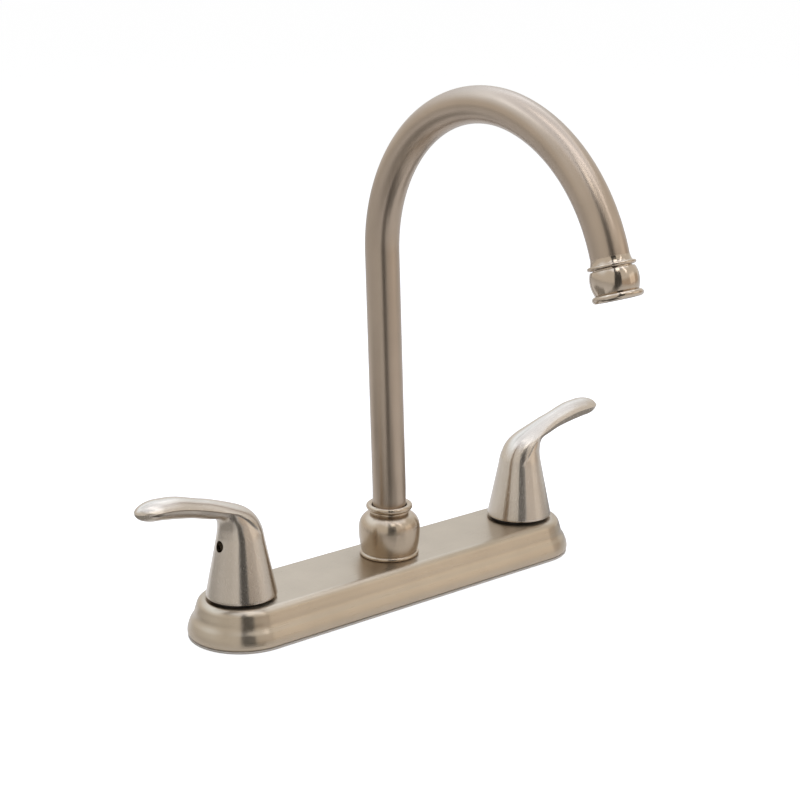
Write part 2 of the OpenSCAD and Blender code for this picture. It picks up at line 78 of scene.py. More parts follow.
def add(tree, kind, inputs=None, **settings):
    """Adds a node. An input is a plain value, or the socket that feeds it."""
    node = tree.nodes.new(kind)
    for name, value in settings.items():
        setattr(node, name, value)
    for key, value in (inputs or {}).items():
        if isinstance(value, bpy.types.NodeSocket):
            tree.links.new(value, node.inputs[key])
        else:
            node.inputs[key].default_value = value
    return node


def metal(name, colour, roughness, grain, depth=0.012, spread=0.04,
          centre=(0, 0, 0), turn=(0, 0, 0)):
    """A metal with a grain, which is given in mm along X, Y and Z after the turn.

    A long grain is the scratches that a polishing belt or a lathe leaves, and an even
    one the skin of a cast or plated piece. It breaks up the gloss. Real scratches are too
    fine to show, so these are drawn coarser. The tone drifts over about 20 mm.
    """
    material = bpy.data.materials.new(name)
    material.use_nodes = True
    tree = material.node_tree
    tree.nodes.clear()
    place = add(tree, "ShaderNodeTexCoord").outputs["Object"]
    if any(turn) or any(centre):
        place = add(tree, "ShaderNodeMapping", {
            "Vector": place, "Location": [c * MM for c in centre], "Rotation": turn,
        }, vector_type="TEXTURE").outputs["Vector"]
    lines = add(tree, "ShaderNodeMapping", {
        "Vector": place, "Scale": [1 / (g * MM) for g in grain],
    })
    scratch = add(tree, "ShaderNodeTexNoise", {
        "Vector": lines.outputs["Vector"], "Scale": 1, "Detail": 4, "Roughness": 0.6,
    })
    cloud = add(tree, "ShaderNodeTexNoise", {"Vector": place, "Scale": 45, "Detail": 2})
    shade = add(tree, "ShaderNodeMapRange", {
        "Value": cloud.outputs["Fac"], "From Min": 0.3, "From Max": 0.7,
        "To Min": 0.96, "To Max": 1.04,
    })
    tone = add(tree, "ShaderNodeVectorMath", {
        0: linear(colour)[:3], "Scale": shade.outputs["Result"],
    }, operation="SCALE")
    gloss = add(tree, "ShaderNodeMapRange", {
        "Value": scratch.outputs["Fac"], "From Min": 0.3, "From Max": 0.7,
        "To Min": roughness - spread, "To Max": roughness + spread,
    })
    bump = add(tree, "ShaderNodeBump", {
        "Height": scratch.outputs["Fac"], "Distance": depth * MM, "Strength": 1,
    })
    shader = add(tree, "ShaderNodeBsdfPrincipled", {
        "Base Color": tone.outputs["Vector"], "Metallic": 1, "Roughness": gloss.outputs["Result"],
        "Normal": bump.outputs["Normal"],
    })
    add(tree, "ShaderNodeOutputMaterial", {"Surface": shader.outputs["BSDF"]})
    return material


def smear(material, along, amount):
    """Draws a metal's highlights out along a direction, as fine scratches across it do."""
    tree = material.node_tree
    aim = add(tree, "ShaderNodeVectorTransform", {"Vector": along},
              vector_type="VECTOR", convert_from="OBJECT", convert_to="WORLD")
    for node in tree.nodes:
        if node.bl_idname == "ShaderNodeBsdfPrincipled":
            tree.links.new(aim.outputs[0], node.inputs["Tangent"])
            node.inputs["Anisotropic"].default_value = amount


def lay_grain(material, course):
    """Runs the scratches of a metal along a course of the piece's own."""
    for node in material.node_tree.nodes:
        if node.bl_idname == "ShaderNodeMapping":
            material.node_tree.links.new(course, node.inputs["Vector"])


def arc(centre, radius, start, end, steps):
    """Points of a round stretch, from one angle to another in degrees."""
    turns = [math.radians(start + (end - start) * i / steps) for i in range(steps + 1)]
    return [(centre[0] + radius * math.cos(a), centre[1] + radius * math.sin(a)) for a in turns]


def sweep(p0, p1, p2, p3, steps):
    """Points of a smooth stretch from p0 to p3, drawn towards p1 and p2."""
    points = []
    for i in range(steps + 1):
        t = i / steps
        s = 1 - t
        k = (s ** 3, 3 * s * s * t, 3 * s * t * t, t ** 3)
        points.append(tuple(sum(w * p[j] for w, p in zip(k, (p0, p1, p2, p3))) for j in (0, 1)))
    return points


def crisp(mesh):
    """Shades a mesh smooth and keeps its real edges crisp."""
    mesh.shade_smooth()
    mesh.set_sharp_from_angle(angle=math.radians(CRISP_DEG))


def solid(name, points, faces, place=None):
    """Makes an object from points in mm, with its faces outwards and its edges crisp."""
    mesh = bpy.data.meshes.new(name)
    mesh.from_pydata([Vector(p) * MM for p in points], [], faces)
    work = bmesh.new()
    work.from_mesh(mesh)
    if place:
        work.transform(Matrix.LocRotScale(place.translation * MM, place.to_quaternion(), None))
    bmesh.ops.remove_doubles(work, verts=work.verts, dist=WELD)
    bmesh.ops.dissolve_degenerate(work, edges=work.edges, dist=WELD / 10)
    bmesh.ops.recalc_face_normals(work, faces=work.faces)
    work.to_mesh(mesh)
    work.free()
    crisp(mesh)
    thing = bpy.data.objects.new(name, mesh)
    bpy.context.scene.collection.objects.link(thing)
    return thing


def plain_mesh(thing):
    """The mesh that an object's modifiers make of it."""
    graph = bpy.context.evaluated_depsgraph_get()
    return bpy.data.meshes.new_from_object(thing.evaluated_get(graph))


def carve(thing, cutters):
    """Cuts the cutters out of an object and removes them."""
    for cutter in cutters:
        cut = thing.modifiers.new("cut", "BOOLEAN")
        cut.operation = "DIFFERENCE"
        cut.solver = "EXACT"
        cut.object = cutter
    plain = plain_mesh(thing)
    thing.modifiers.clear()
    thing.data = plain
    crisp(plain)
    for cutter in cutters:
        bpy.data.objects.remove(cutter)
    return thing


def dress(thing, material, body, node):
    """Gives a finished piece its material and its body, and hides the node that it stands for."""
    thing.data.materials.clear()
    thing.data.materials.append(material)
    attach(thing, body)
    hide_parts(node)


def turned(profile, steps=128):
    """Points and faces of a closed profile of (radius, height) turned about Z."""
    n = len(profile)
    points, faces = [], []
    for i in range(steps):
        a = 2 * math.pi * i / steps
        points += [(r * math.cos(a), r * math.sin(a), z) for r, z in profile]
        for k in range(n):
            j = (i + 1) % steps
            m = (k + 1) % n
            faces.append((i * n + k, j * n + k, j * n + m, i * n + m))
    return points, faces


def rod(radius, low, high):
    """The profile of a plain cylinder, which cuts a round hole."""
    return [(0, low), (radius, low), (radius, high), (0, high)]


def plug(radius, low, high, x=0.0):
    """A cylinder about a vertical axis at x, used to cut a hole."""
    return solid("plug", *turned(rod(radius, low, high), 96), place=Matrix.Translation((x, 0, 0)))


def plate_side(inset, fine):
    """Half section of the plate from its foot to its flat top, drawn in by a wall."""
    foot_r, foot_z, toe_r = FOOT_R - inset, 3.4, 1.5
    curve_r = PLATE_EDGE_R - inset / 2
    lean = math.radians(SIDE_LEAN_DEG)
    shoulder = (20.6 - inset / 2, PLATE_TOP - inset - curve_r)
    slope = (shoulder[0] + curve_r * math.cos(lean), shoulder[1] + curve_r * math.sin(lean))
    foot, toe = (foot_r, foot_z), (foot_r - toe_r, GASKET_T)
    step, ledge = (foot_r - 1.5, 8.8), (foot_r - 3.9, 13.4)
    under_slope = (slope[0] + 0.4, slope[1] - 1.4)
    return [
        (foot_r - toe_r - 0.5, GASKET_T),
        *sweep(toe, (foot_r - 0.4, GASKET_T + 0.1), (foot_r, foot_z - 1), foot, fine),
        *sweep(foot, (foot_r - 0.1, 5.6), (foot_r - 0.9, 7.4), step, fine),
        *sweep(step, (foot_r - 2.1, 10.2), (foot_r - 3.4, 11.2), ledge, fine)[1:],
        *sweep(ledge, (foot_r - 4.3, 15.2), under_slope, slope, fine // 2)[1:],
        *arc(shoulder, curve_r, SIDE_LEAN_DEG, 90, fine)[1:],
        (shoulder[0] - 0.4, PLATE_TOP - inset),
    ]


def stadium_rings(side, steps=56):
    """Carries a half section round both round ends, one column of points a direction."""
    columns = []
    for sign, first in ((1, -90), (-1, 90)):
        for i in range(steps + 1):
            a = math.radians(first + 180 * i / steps)
            columns.append([(sign * END_X + r * math.cos(a), r * math.sin(a), z) for r, z in side])
    return columns


outside = stadium_rings(plate_side(0, 14))
inside = stadium_rings(plate_side(PLATE_WALL, 6))
n_out, n_in, n_columns = len(outside[0]), len(inside[0]), len(outside)
plate_points = [p for column in outside + inside for p in column]
first_in = n_out * n_columns
plate_faces = [
    [i * n_out + n_out - 1 for i in range(n_columns)],
    [first_in + i * n_in + n_in - 1 for i in range(n_columns)],
]
for i in range(n_columns):
    j = (i + 1) % n_columns
    for k in range(n_out - 1):
        a, b = i * n_out + k, j * n_out + k
        plate_faces.append((a, b, b + 1, a + 1))
    for k in range(n_in - 1):
        a, b = first_in + i * n_in + k, first_in + j * n_in + k
        plate_faces.append((a, b, b + 1, a + 1))
    plate_faces.append((i * n_out, j * n_out, first_in + j * n_in, first_in + i * n_in))

deck_cover = carve(solid("deck_cover", plate_points, plate_faces), [
    plug(HANDLE_HOLE_R, 10, 30, -HALF_CENTRES), plug(HUB_HOLE_R, 10, 30),
    plug(HANDLE_HOLE_R, 10, 30, HALF_CENTRES),
])

# Nickel plating, belt-brushed lengthwise: a satin face that draws highlights out across the
# scratches. On the sides the belt went round both ends, so the grain there follows the edge.
GRAIN_BEND_R = 30
FACE_Z = PLATE_TOP - 0.3
plate_nickel = metal("brushed_nickel_plate", "#b2a38f", 0.29, (30, 0.4, 0.4),
                     depth=0.002, spread=0.02)
tree = plate_nickel.node_tree
surface = add(tree, "ShaderNodeTexCoord").outputs
split = add(tree, "ShaderNodeSeparateXYZ", {"Vector": surface["Object"]}).outputs
straight = add(tree, "ShaderNodeClamp", {
    "Value": split["X"], "Min": -END_X * MM, "Max": END_X * MM,
}).outputs[0]
beyond = add(tree, "ShaderNodeMath", {0: split["X"], 1: straight}, operation="SUBTRACT").outputs[0]
outward = add(tree, "ShaderNodeMath", {0: beyond}, operation="ABSOLUTE").outputs[0]
forward = add(tree, "ShaderNodeMath", {0: split["Y"], 1: -1}, operation="MULTIPLY").outputs[0]
round_end = add(tree, "ShaderNodeMath", {0: outward, 1: forward}, operation="ARCTAN2").outputs[0]
travelled = add(tree, "ShaderNodeMath", {
    0: round_end, 1: GRAIN_BEND_R * MM, 2: straight,
}, operation="MULTIPLY_ADD").outputs[0]
reach = add(tree, "ShaderNodeCombineXYZ", {"X": beyond, "Y": split["Y"]}).outputs[0]
reach = add(tree, "ShaderNodeVectorMath", {0: reach}, operation="LENGTH").outputs["Value"]
side_course = add(tree, "ShaderNodeCombineXYZ", {
    "X": travelled, "Y": reach, "Z": split["Z"],
}).outputs[0]
side_belt = add(tree, "ShaderNodeCombineXYZ", {"X": forward, "Y": beyond}).outputs[0]
on_side = add(tree, "ShaderNodeMath", {
    0: split["Z"], 1: FACE_Z * MM,
}, operation="LESS_THAN").outputs[0]
course = add(tree, "ShaderNodeMix", {
    FACTOR: on_side, VECTOR_A: surface["Object"], VECTOR_B: side_course,
}, data_type="VECTOR").outputs[VECTOR_OUT]
belt = add(tree, "ShaderNodeMix", {
    FACTOR: on_side, VECTOR_A: (1, 0, 0), VECTOR_B: side_belt,
}, data_type="VECTOR").outputs[VECTOR_OUT]
lay_grain(plate_nickel, course)
across = add(tree, "ShaderNodeVectorMath", {
    0: surface["Normal"], 1: belt,
}, operation="CROSS_PRODUCT").outputs[0]
smear(plate_nickel, across, amount=0.88)
dress(deck_cover, plate_nickel, "deck_assembly", "deck_plate")

# Base gasket
# A thin moulded rubber pad between the plate and the sink deck. Only its grey rim
# shows, a little inside the plate's foot.

PAD_R = 29.9
PAD_EDGE_R = 0.35
SHANK_HOLE_R = 10.75
DUST_LIFT = 1.35


def rubber(name, colour, roughness):
    """Moulded rubber: dull, with a speckle of about 1 mm from the mould and some pale dust."""
    material = bpy.data.materials.new(name)
    material.use_nodes = True
    tree = material.node_tree
    tree.nodes.clear()
    place = add(tree, "ShaderNodeTexCoord").outputs["Object"]
    speckle = add(tree, "ShaderNodeTexNoise", {"Vector": place, "Scale": 900, "Detail": 3})
    dust = add(tree, "ShaderNodeTexNoise", {"Vector": place, "Scale": 60, "Detail": 3})
    tone = add(tree, "ShaderNodeMix", {
        FACTOR: dust.outputs["Fac"], COLOUR_A: linear(colour),
        COLOUR_B: [min(1, c * DUST_LIFT) for c in linear(colour)],
    }, data_type="RGBA")
    bump = add(tree, "ShaderNodeBump", {
        "Height": speckle.outputs["Fac"], "Distance": 0.02 * MM, "Strength": 0.6,
    })
    shader = add(tree, "ShaderNodeBsdfPrincipled", {
        "Base Color": tone.outputs[COLOUR_OUT], "Roughness": roughness,
        "Normal": bump.outputs["Normal"],
    })
    add(tree, "ShaderNodeOutputMaterial", {"Surface": shader.outputs["BSDF"]})
    return material


rim = [
    *arc((PAD_R - PAD_EDGE_R, PAD_EDGE_R), PAD_EDGE_R, -90, 0, 4),
    *arc((PAD_R - PAD_EDGE_R, GASKET_T - PAD_EDGE_R), PAD_EDGE_R, 0, 90, 4),
]
columns = stadium_rings(rim, 48)
n_rim = len(rim)
gasket_faces = [
    [i * n_rim for i in range(len(columns))],
    [i * n_rim + n_rim - 1 for i in range(len(columns))],
]
for i in range(len(columns)):
    j = (i + 1) % len(columns)
    for k in range(n_rim - 1):
        a, b = i * n_rim + k, j * n_rim + k
        gasket_faces.append((a, b, b + 1, a + 1))
gasket = carve(
    solid("gasket_pad", [p for column in columns for p in column], gasket_faces),
    [plug(SHANK_HOLE_R, -2, 4, side * HALF_CENTRES) for side in (-1, 1)],
)
grey_rubber = rubber("moulded_grey_rubber", "#cdc4b9", 0.6)
dress(gasket, grey_rubber, "deck_assembly", "base_gasket")

# Spout hub
# The pear-shaped brass collar that covers the swivel joint. It is turned on a lathe, with a
# base bead, a round belly, a groove, a thin bead and a wide ring, and it stands on the plate.

HUB_TOP = 51.0
HUB_BORE_R = 12.25
HUB_THROAT_R = 9.75
HUB_STEP_Z = 40.1
HUB_RING_R = 1.65
hub_profile = [
    (HUB_BORE_R, PLATE_TOP), (15.4, PLATE_TOP),
    *arc((15.6, PLATE_TOP + 1.1), 1.1, -70, 72, 14),
    *sweep((15.72, 23.3), (16.5, 26.5), (17.3, 30.2), (17.3, 36.5), 26),
    *sweep((17.3, 36.5), (17.3, 41.2), (15.2, 44.6), (10.8, 45.6), 30)[1:],
    *arc((10.3, 46.6), 1.0, -62, 62, 10),
    *arc((11.45, HUB_TOP - HUB_RING_R), HUB_RING_R, -118, 110, 24),
    (9.9, 50.2), (HUB_THROAT_R, HUB_STEP_Z), (HUB_BORE_R, HUB_STEP_Z),
]

# Nickel over turned brass, polished as it spun: the scratches run round the piece, so its
# highlights are drawn out up and down.
turned_nickel = metal("brushed_nickel_turned", "#b1a08b", 0.25, (25, 25, 0.5),
                      depth=0.001, spread=0.02)
smear(turned_nickel, (0, 0, 1), amount=0.82)
dress(solid("hub_collar", *turned(hub_profile, 160)), turned_nickel,
      "deck_assembly", "spout_hub")

# Spout tube
# The gooseneck: one drawn brass tube, bent over the bowl in three blended bends, then
# brushed along its length and plated. Its foot sits on the adapter inside the hub.

TUBE_R = 9.4
TUBE_WALL = 1.0
TUBE_FOOT_Z = 36.05

# Each leg is a length in mm with no turn, or a bend's radius with its turn in degrees.
LEGS = [(19.95, 0), (150, -2.4), (130.5, 0), (81.5, 55), (82, 53), (93, 56), (5, 0)]
STEP_MM = 4
STEP_DEG = 1.5


def towards(degrees):
    """The direction at an angle up from straight out over the bowl."""
    return Vector((math.cos(math.radians(degrees)), math.sin(math.radians(degrees))))


def gooseneck_path():
    """Centre line as (reach over the bowl, height) in mm, and the last leg's start and aim."""
    spot, heading = Vector((0, TUBE_FOOT_Z)), 90.0
    line = [spot.copy()]
    for size, turn in LEGS:
        start = spot.copy()
        if turn == 0:
            spot = start + size * towards(heading)
            steps = max(1, round(size / STEP_MM))
            line += [start.lerp(spot, i / steps) for i in range(1, steps + 1)]
        else:
            side = math.copysign(90, turn)
            centre = start + size * towards(heading - side)
            steps = max(2, round(abs(turn) / STEP_DEG))
            for i in range(1, steps + 1):
                spot = centre + size * towards(heading + side - turn * i / steps)
                line.append(spot.copy())
            heading -= turn
    return line, start, heading


path, tip_start, tip_heading = gooseneck_path()
TIP = (Matrix.Translation((0, -tip_start.x, tip_start.y))
       @ Matrix.Rotation(math.radians(90 - tip_heading), 4, "X"))

tube_tree = bpy.data.node_groups.new("bent_tube", "GeometryNodeTree")
sockets = tube_tree.interface
sockets.new_socket("Geometry", in_out="INPUT", socket_type="NodeSocketGeometry")
radius_input = sockets.new_socket("Tube Radius", in_out="INPUT", socket_type="NodeSocketFloat")
metal_input = sockets.new_socket("Metal", in_out="INPUT", socket_type="NodeSocketMaterial")
sockets.new_socket("Geometry", in_out="OUTPUT", socket_type="NodeSocketGeometry")
given = add(tube_tree, "NodeGroupInput").outputs
line = add(tube_tree, "GeometryNodeMeshToCurve", {"Mesh": given["Geometry"]})
travelled = add(tube_tree, "GeometryNodeSplineParameter")
marked = add(tube_tree, "GeometryNodeStoreNamedAttribute", {
    "Geometry": line.outputs["Curve"], "Name": "along", "Value": travelled.outputs["Length"],
}, data_type="FLOAT", domain="POINT")
course = add(tube_tree, "GeometryNodeInputTangent")
marked = add(tube_tree, "GeometryNodeStoreNamedAttribute", {
    "Geometry": marked.outputs["Geometry"], "Name": "course", "Value": course.outputs["Tangent"],
}, data_type="FLOAT_VECTOR", domain="POINT")
ring = add(tube_tree, "GeometryNodeCurvePrimitiveCircle", {
    "Resolution": 96, "Radius": given["Tube Radius"],
})
spot = add(tube_tree, "GeometryNodeInputPosition")
marked_ring = add(tube_tree, "GeometryNodeStoreNamedAttribute", {
    "Geometry": ring.outputs["Curve"], "Name": "section", "Value": spot.outputs["Position"],
}, data_type="FLOAT_VECTOR", domain="POINT")
skin = add(tube_tree, "GeometryNodeCurveToMesh", {
    "Curve": marked.outputs["Geometry"], "Profile Curve": marked_ring.outputs["Geometry"],
})
real = add(tube_tree, "GeometryNodeRealizeInstances", {"Geometry": skin.outputs["Mesh"]})
coated = add(tube_tree, "GeometryNodeSetMaterial", {
    "Geometry": real.outputs["Geometry"], "Material": given["Metal"],
})
add(tube_tree, "NodeGroupOutput", {"Geometry": coated.outputs["Geometry"]})

# Nickel over drawn brass, softer than the turned pieces. A belt has run round the tube, which
# draws its highlights out along it, and the last strokes by hand follow its length.
tube_nickel = metal("brushed_nickel_tube", "#a99886", 0.32, (0.5, 0.5, 20),
                    depth=0.0015, spread=0.02)
tree = tube_nickel.node_tree
course = add(tree, "ShaderNodeAttribute", attribute_name="course")
smear(tube_nickel, course.outputs["Vector"], amount=0.4)
section = add(tree, "ShaderNodeAttribute", attribute_name="section")
along = add(tree, "ShaderNodeAttribute", attribute_name="along")
split = add(tree, "ShaderNodeSeparateXYZ", {"Vector": section.outputs["Vector"]})
joined = add(tree, "ShaderNodeCombineXYZ", {
    "X": split.outputs["X"], "Y": split.outputs["Y"], "Z": along.outputs["Fac"],
})
lay_grain(tube_nickel, joined.outputs["Vector"])

mesh = bpy.data.meshes.new("gooseneck")
mesh.from_pydata([(0, -p.x * MM, p.y * MM) for p in path],
                 [(i, i + 1) for i in range(len(path) - 1)], [])
gooseneck = bpy.data.objects.new("gooseneck", mesh)
bpy.context.scene.collection.objects.link(gooseneck)
bend = gooseneck.modifiers.new("bend", "NODES")
bend.node_group = tube_tree
bend[radius_input.identifier] = TUBE_R * MM
bend[metal_input.identifier] = tube_nickel
wall = gooseneck.modifiers.new("wall", "SOLIDIFY")
wall.thickness = TUBE_WALL * MM
wall.offset = -1
plain = plain_mesh(gooseneck)
gooseneck.modifiers.clear()
gooseneck.data = plain
crisp(plain)
dress(gooseneck, tube_nickel, "swivel_spout", "spout_tube")

# Spout tip
# The ferrule is a bead ring brazed on the tube's end, and the aerator housing is a turned
# barrel with a wide bead at its mouth, which screws on below it.

FERRULE_R = 11.75
FERRULE_BORE_R = 9.45
FERRULE_NECK_R = 9.5
WATERWAY_R = 7.6
HOUSING_Z = 6.7
HOUSING_END = 21.5
HOUSING_BORE_R = 9.55
MOUTH_R = 8.5
MOUTH_BEAD_R = 1.75

# The same turned nickel, glossier because small pieces are polished harder. Its scratches run
# round the tip's own axis.
tip_nickel = metal("brushed_nickel_tip", "#b5a592", 0.16, (25, 25, 0.4),
                   depth=0.001, spread=0.02, centre=TIP.translation, turn=TIP.to_euler())
smear(tip_nickel, TIP.to_3x3() @ Vector((0, 0, 1)), amount=0.84)
ferrule_profile = [
    (FERRULE_BORE_R, 1.2), *sweep((9.5, 1.2), (9.6, 2.4), (9.75, 3.2), (10.2, 4.1), 6),
    *arc((FERRULE_R - 1, 5.1), 1.0, -75, 85, 18),
    (FERRULE_NECK_R, 6.1), (FERRULE_NECK_R, 12.4), (WATERWAY_R, 12.4), (WATERWAY_R, 5.05),
    (FERRULE_BORE_R, 5.05),
]
dress(solid("tip_bead", *turned(ferrule_profile), place=TIP), tip_nickel,
      "swivel_spout", "tip_ferrule")
barrel_profile = [
    (HOUSING_BORE_R, HOUSING_Z), (10.5, HOUSING_Z),
    *arc((10.55, HOUSING_Z + 0.3), 0.3, -90, 0, 4),
    *sweep((10.9, 7.1), (12.2, 9.8), (12.2, 14.2), (10.55, 17.9), 22),
    *arc((12.35 - MOUTH_BEAD_R, HOUSING_END - MOUTH_BEAD_R), MOUTH_BEAD_R, -58, 85, 22),
    (9.6, HOUSING_END), (MOUTH_R, HOUSING_END - 0.4), (MOUTH_R, HOUSING_END - 1.6),
    (HOUSING_BORE_R, HOUSING_END - 1.6),
]
dress(solid("aerator_barrel", *turned(barrel_profile), place=TIP), tip_nickel,
      "swivel_spout", "aerator_housing")

# Lever handles
# Two die-cast levers, mirror images of each other. A hollow cone stands over the valve and
# flows into one lever that rises outwards to a teardrop paddle, with a fine satin plating.

RIM_Z = 22.6
CONE_TOP_Z = 50.6
LEVER_RIM_R = 19.1
TAPER = math.tan(math.radians(11.4))
CONE_TOP_R = LEVER_RIM_R - 28 * TAPER
REACH = 62.5
TIP_Z = RIM_Z + 57
PADDLE_END = 12
PADDLE_X = REACH - PADDLE_END
PADDLE_HALF_W = 8.6
PADDLE_HALF_T = 5.55
CREASE_DEPTH = 1.1
RING_STEPS, END_STEPS = 8, 12
HOOD_POINTS, CREASE_POINTS, UNDER_POINTS = 24, 5, 25

# Each station is the lever's under point and top point, as (outwards, height), and its half
# width there.
STATIONS = [
    ((LEVER_RIM_R, RIM_Z), (-LEVER_RIM_R, RIM_Z), LEVER_RIM_R),
    ((CONE_TOP_R, CONE_TOP_Z), (-CONE_TOP_R, CONE_TOP_Z), CONE_TOP_R),
    ((CONE_TOP_R - 1, CONE_TOP_Z + 7), (2.2 - CONE_TOP_R, CONE_TOP_Z + 9.5), CONE_TOP_R - 1.2),
    ((CONE_TOP_R - 0.9, CONE_TOP_Z + 12.5), (6.6 - CONE_TOP_R, CONE_TOP_Z + 16.6),
     CONE_TOP_R - 2.4),
    ((CONE_TOP_R + 1.6, CONE_TOP_Z + 16.6), (0.5, CONE_TOP_Z + 21.6), 9.6),
    ((CONE_TOP_R + 7.2, TIP_Z - 11.2), (CONE_TOP_R + 3.4, TIP_Z - 1.3), 8.2),
    ((30, TIP_Z - 8.6), (26, TIP_Z + 1.3), 7.6),
    ((41, TIP_Z - 6.6), (39, TIP_Z + 4.9), 8.2),
    ((PADDLE_X, TIP_Z - 5.2), (PADDLE_X - 0.5, TIP_Z + 5.9), PADDLE_HALF_W),
]


def smooth(a, b, c, d, t):
    """A smooth value between b and c, with a and d as their neighbours."""
    return 0.5 * (2 * b + (c - a) * t + (2 * a - 5 * b + 4 * c - d) * t * t
                  + (3 * b - a - 3 * c + d) * t ** 3)


def ease(value, start, length):
    """0 up to the start and 1 past the length, with a smooth rise between."""
    t = min(1, max(0, (value - start) / length))
    return t * t * (3 - 2 * t)


def lever_rings():
    """Rings up the cone and along the lever.

    Each one has its under point, top point and half width, the place of the crease (1 at
    the top, -1 at the underside), and the shares of its full depth and of the dome.
    """
    last = len(STATIONS) - 1
    rings = []
    for inset, h in ((0.4, 0), (0.12, 0.1), (0, 0.4), (0, 1.4), (0, 7), (0, 14), (0, 21)):
        r = LEVER_RIM_R - inset - TAPER * h
        rings.append(((r, RIM_Z + h), (-r, RIM_Z + h), r, 0.68, 0, 0))
    for i in range(1, last):
        near = [STATIONS[max(0, min(last, i + k))] for k in (-1, 0, 1, 2)]
        for j in range(RING_STEPS):
            t = j / RING_STEPS
            low, high = ([smooth(*(s[end][k] for s in near), t) for k in (0, 1)] for end in (0, 1))
            way = min(1, max(0, (i + t - 1.3) / 2.5))
            crease = 0.25 + 0.43 * (1 - way) ** 2
            rings.append((low, high, smooth(*(s[2] for s in near), t), crease,
                          ease(i + t, 1, 1.7), ease(i + t, 2.6, 2)))
    for j in range(END_STEPS):
        a = math.pi / 2 * j / END_STEPS
        x, k = PADDLE_X + PADDLE_END * math.sin(a), math.cos(a)
        lift, half_t = TIP_Z + 0.35 + 0.05 * math.sin(a) ** 2, PADDLE_HALF_T * k
        rings.append(((x, lift - half_t), (x - 0.5 * k, lift + half_t), PADDLE_HALF_W * k,
                      0.25, k * k, 1))
    return rings


def lever_form():
    """Points and faces of one lever that points to +X from its valve centre.

    Above the crease a section is a low dome, and below it a narrower wall curves under.
    """
    points, faces = [], []
    rings = lever_rings()
    n = 2 * (HOOD_POINTS + CREASE_POINTS + UNDER_POINTS)
    for low, high, width, crease, share, dome in rings:
        mid = ((low[0] + high[0]) / 2, (low[1] + high[1]) / 2)
        rise = ((high[0] - low[0]) / 2, (high[1] - low[1]) / 2)
        flat = 1 - math.hypot(*rise) / width
        edge = math.acos(crease)
        edge_y, edge_up = width * math.sin(edge), crease - 0.35 * flat * math.sin(edge) ** 2
        tight = 1 - 0.28 * dome
        foot = edge + math.radians(10 + 25 * (1 - share) ** 2)
        half = [edge * i / HOOD_POINTS for i in range(HOOD_POINTS)]
        half += [edge + (foot - edge) * i / CREASE_POINTS for i in range(CREASE_POINTS)]
        half += [foot + (math.pi - foot) * i / UNDER_POINTS for i in range(UNDER_POINTS + 1)]
        for a in half + [-a for a in half[-2:0:-1]]:
            turn, sign = abs(a), math.copysign(1, a)
            if turn <= edge:
                y = edge_y * math.sin(tight * turn) / math.sin(tight * edge)
                drop = (1 - edge_up) * (1 - math.cos(tight * turn))
                up = 1 - drop / (1 - math.cos(tight * edge))
            else:
                s, c = math.sin(turn), math.cos(turn)
                q = (turn - edge) / (math.pi - edge) * math.pi / 2
                down = min(1, (turn - edge) / (foot - edge))
                fade = 1 - max(0, (turn - foot) / (math.pi - foot)) ** 1.5
                shrink = 1 - CREASE_DEPTH * share * down * (2 - down) * fade / width
                y = shrink * (dome * edge_y * math.cos(q) + (1 - dome) * width * s)
                up = shrink * (dome * (edge_up - (edge_up + 1) * math.sin(q))
                               + (1 - dome) * (c - 0.35 * flat * s * s))
            points.append((mid[0] + rise[0] * up, sign * y, mid[1] + rise[1] * up))
    m = len(rings)
    for j in range(m - 1):
        for i in range(n):
            a, b = j * n + i, j * n + (i + 1) % n
            faces.append((a, b, b + n, a + n))
    points += [(0, 0, RIM_Z), (REACH, 0, TIP_Z + 0.4)]
    for i in range(n):
        k = (i + 1) % n
        faces.append((m * n, k, i))
        faces.append((m * n + 1, (m - 1) * n + i, (m - 1) * n + k))
    return points, faces


CAVITY_TOP = 40.65
STEM_BORE_R = 4.05
SCREW_Z = 51.6
SCREW_R = 3.0
SCREW_HOLE_R = SCREW_R + 0.05
HEX_R = 1.73
SCREW = [(0, 4.1), (2.4, 4.1), (SCREW_R, 4.7), (SCREW_R, 9.7), (2.6, 10.1), (0, 10.1)]

# Satin nickel over a zinc casting, brushed by hand from the rim up. Its highlights are drawn
# out upwards on the cone, and between the two heights they lean over with the lever.
LEAN_LOW, LEAN_HIGH = 54, 72
lever_nickel = metal("satin_nickel_lever", "#c2b6a7", 0.26, (0.5, 0.5, 14),
                     depth=0.001, spread=0.02)
tree = lever_nickel.node_tree
spot = add(tree, "ShaderNodeTexCoord").outputs["Object"]
split = add(tree, "ShaderNodeSeparateXYZ", {"Vector": spot})
outward = add(tree, "ShaderNodeMath", {0: split.outputs["X"]}, operation="SIGN")
lean = add(tree, "ShaderNodeMapRange", {
    "Value": split.outputs["Z"], "From Min": LEAN_LOW * MM, "From Max": LEAN_HIGH * MM,
}, interpolation_type="SMOOTHSTEP")
sideways = add(tree, "ShaderNodeMath", {
    0: outward.outputs[0], 1: lean.outputs["Result"],
}, operation="MULTIPLY")
upright = add(tree, "ShaderNodeMath", {
    0: lean.outputs["Result"], 1: -0.6, 2: 1.0,
}, operation="MULTIPLY_ADD")
flow = add(tree, "ShaderNodeCombineXYZ", {"X": sideways.outputs[0], "Z": upright.outputs[0]})
smear(lever_nickel, flow.outputs["Vector"], amount=0.85)

